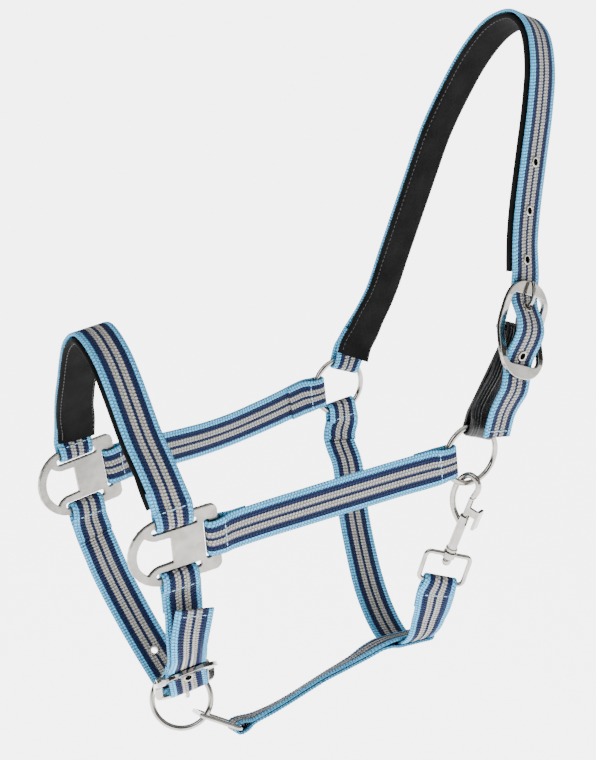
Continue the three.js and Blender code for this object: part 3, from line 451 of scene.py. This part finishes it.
def lay_strip(name, strip, columns, relief, holes=()):
    """The strip as a solid, cut open inside each hole.

    relief(x share, s, side) is how far a face stands out; side is 1 outside, -1 inside, 0 on an edge.
    """
    profile = section(1.0, 1.0, columns)
    verts = []
    share = []
    for half, middle, across, out, s in zip(strip.half, strip.middle, strip.across, strip.out, strip.s):
        r = strip.thick / 2
        x = np.sign(profile[:, 0]) * (half - r) * np.abs(profile[:, 0]).clip(0, 0.5) / 0.5
        round_x = np.where(profile[:, 2] == 0, np.sign(profile[:, 0]) * (
            half - r + r * np.sqrt(np.clip(1 - (profile[:, 1] / 0.5) ** 2, 0, 1))), x)
        z = profile[:, 1] / 0.5 * r + profile[:, 2] * relief(round_x / half, s, profile[:, 2])
        verts.append(middle + round_x[:, None] * across + z[:, None] * out)
        share.append(round_x / (2 * half) + 0.5)
    rows, points = len(strip.s), len(profile)
    verts = np.concatenate(verts)
    quads = tube_faces(rows, points)
    centres = verts[quads].mean(axis=1)
    keep = np.ones(len(quads), bool)
    for test in holes:
        keep &= ~test(centres)
    faces = quads[keep].tolist()
    faces.append(list(range(points))[::-1])
    faces.append(list(range((rows - 1) * points, rows * points)))
    piece = mesh_piece(name, verts, faces)
    mesh = piece.data
    corners = np.zeros(len(mesh.loops), int)
    mesh.loops.foreach_get("vertex_index", corners)
    along = np.repeat(strip.s, points)
    uv = np.stack([np.concatenate(share)[corners], along[corners]], axis=-1)
    layer = mesh.uv_layers.new(name="strap")
    layer.data.foreach_set("uv", uv.astype(np.float32).ravel())
    side = mesh.attributes.new("face_side", "FLOAT", "POINT")
    side.data.foreach_set("value", np.tile((profile[:, 2] > 0).astype(np.float32), rows))
    return piece


def woven(share, s, side):
    """Webbing: low ribs across both faces."""
    return RIB_HEIGHT * math.cos(2 * math.pi * s / RIB_PITCH) * np.ones_like(share)


EYELET_CUT_RADIUS = 3.0 * MM
EYELET_CUT_DEPTH = 2.6 * MM
TONGUE_HALF_GAP = 1.9 * MM
TONGUE_GAP_START = 0.8 * MM
TONGUE_GAP_END = 7 * MM


def eyelet_hole(node):
    """Which faces lie inside an eyelet, hidden under its flange."""
    low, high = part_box(node)
    middle = np.array((low + high) / 2)
    points = np.array([v.co for v in frame["nodes"][node].data.vertices])
    axis = np.linalg.svd(points - points.mean(axis=0), full_matrices=False)[2][2]

    def inside(centres):
        from_middle = centres - middle
        along = from_middle @ axis
        radial = np.linalg.norm(from_middle - along[:, None] * axis, axis=1)
        return (radial < EYELET_CUT_RADIUS) & (np.abs(along) < EYELET_CUT_DEPTH)
    return inside


def tongue_gap(joint, tongue):
    """Where a buckle's tongue comes out through the fold of the strap that holds the bar."""
    bar = np.array(JOINTS[joint]["pos_m"])
    x_axis = np.array(JOINTS[joint]["axis"])
    points = np.array([v.co for v in frame["nodes"][tongue].data.vertices]) - bar
    points -= (points @ x_axis)[:, None] * x_axis
    tip = unit(points[np.argmax(np.linalg.norm(points, axis=1))])

    def inside(centres):
        from_bar = centres - bar
        beside = np.abs(from_bar @ x_axis) < TONGUE_HALF_GAP
        return beside & (from_bar @ tip > TONGUE_GAP_START) & (from_bar @ tip < TONGUE_GAP_END)
    return inside


def finish_piece(piece, slot, body, *nodes):
    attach(piece, body)
    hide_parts(*nodes)


# ---- stitches: short threads, each a rounded bar half sunk in the strap ----
THREAD = 0.34 * MM
STITCH_INSET = 1.4 * MM
DASH = 2.3 * MM
DASH_GAP = 0.9 * MM


def capsule():
    rings = [(-0.5, 0.0), (-0.46, 0.55), (-0.36, 0.92), (0.36, 0.92), (0.46, 0.55), (0.5, 0.0)]
    points = [(x, r * math.cos(a), r * math.sin(a)) for x, r in rings
              for a in np.linspace(0, 2 * math.pi, 8, endpoint=False)]
    return np.array(points), tube_faces(len(rings), 8)


def stitches(name, dashes, body, material, colour):
    """dashes: (point, direction, out, length) of each thread."""
    base, quads = capsule()
    verts = []
    faces = []
    for count, (point, way, out, length) in enumerate(dashes):
        third = np.cross(out, way)
        local = base * np.array([length, THREAD, THREAD])
        verts.append(point + local[:, :1] * way + local[:, 1:2] * third + local[:, 2:] * out)
        faces.append(quads + count * len(base))
    piece = mesh_piece(name, np.concatenate(verts), np.concatenate(faces))
    thread_material(piece, material, colour)
    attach(piece, body)
    return piece


def row_across(strip, s, side=1):
    """Threads in a row from edge to edge, at s along the strip."""
    row = round(s / strip.length * (len(strip.s) - 1))
    half = strip.half[int(np.clip(row, 0, len(strip.s) - 1))] - STITCH_INSET
    count = max(2, int((2 * half + DASH_GAP) / (DASH + DASH_GAP)))
    pitch = 2 * half / count
    dashes = []
    for i in range(count):
        x = -half + pitch * (i + 0.5)
        point, across, out, _ = strip.place(s, x, side * (strip.thick / 2 + 0.04 * MM))
        dashes.append((point, across, out, pitch - DASH_GAP))
    return dashes


def row_along(strip, x_share, start, stop, side=1):
    """Threads in a row along the strip, at a share of its half width."""
    count = int((stop - start) / (DASH + DASH_GAP))
    dashes = []
    for i in range(count):
        s = start + (DASH + DASH_GAP) * (i + 0.5)
        half = strip.half[int(s / strip.length * (len(strip.s) - 1))]
        point, across, out, way = strip.place(s, x_share * half, side * (strip.thick / 2 + 0.02 * MM))
        dashes.append((point, way, out, DASH))
    return dashes


# ---- hardware ----
def copy_of(node, name):
    piece = frame["nodes"][node].copy()
    piece.data = piece.data.copy()
    for key in list(piece.keys()):
        del piece[key]
    piece.parent = None
    piece.matrix_world = Matrix.Identity(4)
    piece.name = name
    bpy.context.scene.collection.objects.link(piece)
    mesh = bmesh.new()
    mesh.from_mesh(piece.data)
    bmesh.ops.remove_doubles(mesh, verts=mesh.verts, dist=SAME_POINT)
    mesh.to_mesh(piece.data)
    mesh.free()
    return piece


def apply_modifiers(piece):
    bpy.context.view_layer.update()
    graph = bpy.context.evaluated_depsgraph_get()
    made = bpy.data.meshes.new_from_object(piece.evaluated_get(graph))
    piece.modifiers.clear()
    piece.data = made
    made.polygons.foreach_set("use_smooth", np.ones(len(made.polygons), bool))
    made.update()


def softened(node, name, voxel, rounds):
    """A casting: the CAD solid with its edges rounded off."""
    piece = copy_of(node, name)
    remesh = piece.modifiers.new("remesh", "REMESH")
    remesh.mode = "VOXEL"
    remesh.voxel_size = voxel
    smoothing = piece.modifiers.new("smooth", "SMOOTH")
    smoothing.iterations = rounds
    smoothing.factor = 0.5
    apply_modifiers(piece)
    return piece


def round_ring(node, joint):
    """A welded ring of round wire, turning about the joint's axis."""
    centre = Vector(JOINTS[joint]["pos_m"])
    axis = Vector(JOINTS[joint]["axis"])
    bpy.ops.mesh.primitive_torus_add(
        major_radius=(RING_BORE + RING_WIRE) / 2, minor_radius=RING_WIRE / 2,
        major_segments=120, minor_segments=28)
    piece = bpy.context.object
    piece.name = node + "_wire"
    piece.data.transform(Matrix.Translation(centre) @ axis.to_track_quat("Z", "Y").to_matrix().to_4x4())
    piece.data.polygons.foreach_set("use_smooth", np.ones(len(piece.data.polygons), bool))
    plated(piece)
    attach(piece, node)
    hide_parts(node)


def make_hardware():
    for node, joint in (("near_ring", "near_ring_turn"), ("far_ring", "far_ring_turn"),
                        ("chin_ring", "chin_ring_turn")):
        round_ring(node, joint)
    for node in ("near_square", "far_square"):
        piece = softened(node, node + "_casting", 0.38 * MM, 4)
        cast(piece)
        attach(piece, "halter")
        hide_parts(node)
    for node in ("crown_buckle_frame", "chin_buckle_frame"):
        piece = softened(node, node + "_plate", 0.28 * MM, 4)
        plated(piece)
        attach(piece, "halter")
        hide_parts(node)
    moving = (("crown_buckle_tongue", "crown_tongue"), ("chin_buckle_tongue", "chin_tongue"),
              ("snap_loop", "snap_loop"), ("snap_body", "snap_body"), ("snap_bolt", "snap_bolt"),
              ("chin_link", "chin_link"))
    for node, body in moving:
        piece = softened(node, node + "_casting", 0.25 * MM, 4)
        plated(piece)
        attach(piece, body)
        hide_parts(node)
    eyelets = [n for n in frame["nodes"] if "eyelet" in n]
    for node in sorted(eyelets):
        piece = softened(node, node + "_metal", 0.2 * MM, 2)
        plated(piece)
        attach(piece, "halter")
        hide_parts(node)
    spring = frame["nodes"]["snap_spring"]
    metal_material(spring, "spring_wire", (0.5, 0.5, 0.5), 0.35, 0.00005)
    spring.data.polygons.foreach_set("use_smooth", np.ones(len(spring.data.polygons), bool))


def make_webbing():
    straps = {
        "noseband_webbing": ("near_square", ()),
        "near_cheek_strap": ("near_square", ()),
        "far_cheek_strap": ("far_square", ()),
        "throat_strap": ("far_ring", ()),
        "crown_strap": ("far_ring", [eyelet_hole(f"crown_eyelet_{i}") for i in range(1, 6)]),
        "far_chin_strap": ("far_square", [eyelet_hole(f"chin_eyelet_{i}") for i in range(1, 4)]),
        "near_chin_strap": ("near_square", [tongue_gap("chin_tongue_lift", "chin_buckle_tongue")]),
        "connecting_strap": ("chin_link", ()),
    }
    strips = {}
    for node, (first, holes) in straps.items():
        strip = Strip(node, WEBBING_THICK, first)
        strips[node] = strip
        piece = lay_strip(node + "_woven", strip, 13, woven, holes)
        webbing_material(piece)
        finish_piece(piece, "webbing", "halter", node)
    return strips


def sewn_fold(strip, distance, from_end=False):
    """Rows of thread through both layers beyond a fold, seen on its face and on its tail."""
    apex = strip.apex(from_end)
    return row_across(strip, apex + distance) + row_across(strip, apex - distance)


def make_stitching(strips):
    near, far = 12.5 * MM, 14 * MM
    rows = {
        "noseband_webbing": [(near, False), (near, True)],
        "near_cheek_strap": [(near, False), (far, True)],
        "far_cheek_strap": [(near, False), (far, True)],
        "throat_strap": [(far, False), (far, True)],
        "crown_strap": [(far, False)],
        "far_chin_strap": [(near, False)],
        "near_chin_strap": [(near, False), (near, True)],
    }
    for node, folds in rows.items():
        dashes = []
        for distance, from_end in folds:
            dashes += sewn_fold(strips[node], distance, from_end)
        if node in ("crown_strap", "far_chin_strap"):
            end = strips[node].length - 4 * MM
            dashes += row_across(strips[node], end) + row_across(strips[node], end, side=-1)
        stitches(node + "_stitches", dashes, "halter", "blue_thread", (0.30, 0.62, 0.82))


def padded_face(share, s, side):
    """Padding: its inner face swells between two sewn lines near the edges."""
    swell = 0.35 * MM * (1 - np.clip(np.abs(share) / 0.8, 0, 1) ** 4)
    groove = 0.35 * MM * np.exp(-((np.abs(share) - 0.84) / 0.035) ** 2)
    return np.where(side < 0, swell - groove, 0)


def ridged(share, s, side):
    """Leather: three raised sewn lines beside one edge of its outer face."""
    ridges = sum(np.exp(-((share - x) / 0.035) ** 2) for x in (-0.82, -0.62, -0.42))
    return np.where(side > 0, 0.3 * MM * ridges, 0)


def make_linings():
    for node, first in (("noseband_lining", "near_square"), ("crown_lining", "far_ring")):
        strip = Strip(node, LINING_THICK, first, 0.8 * MM)
        piece = lay_strip(node + "_pad", strip, 44, padded_face)
        lining_material(piece)
        finish_piece(piece, "lining", "halter", node)
        dashes = []
        for x in (-0.84, 0.84):
            dashes += row_along(strip, x, 2 * MM, strip.length - 2 * MM, side=-1)
        stitches(node + "_stitches", dashes, "halter", "black_thread", (0.005, 0.005, 0.005))


def make_leather():
    strip = Strip("leather_tab", LEATHER_THICK, "near_ring")
    gap = tongue_gap("crown_tongue_lift", "crown_buckle_tongue")
    piece = lay_strip("leather_tab_hide", strip, 50, ridged, [gap])
    leather_material(piece)
    finish_piece(piece, "leather", "halter", "leather_tab")


add_camera()
add_stage()
# A soft key from the near side, a weaker fill from the front and a wide light overhead.
add_softbox("key", -75, 42, 1.7, (1.1, 1.1), 16)
add_softbox("fill", 25, 25, 1.9, (1.2, 1.4), 5)
add_softbox("top", 10, 85, 1.6, (1.4, 1.4), 10)
make_hardware()
strips = make_webbing()
make_stitching(strips)
make_linings()
make_leather()
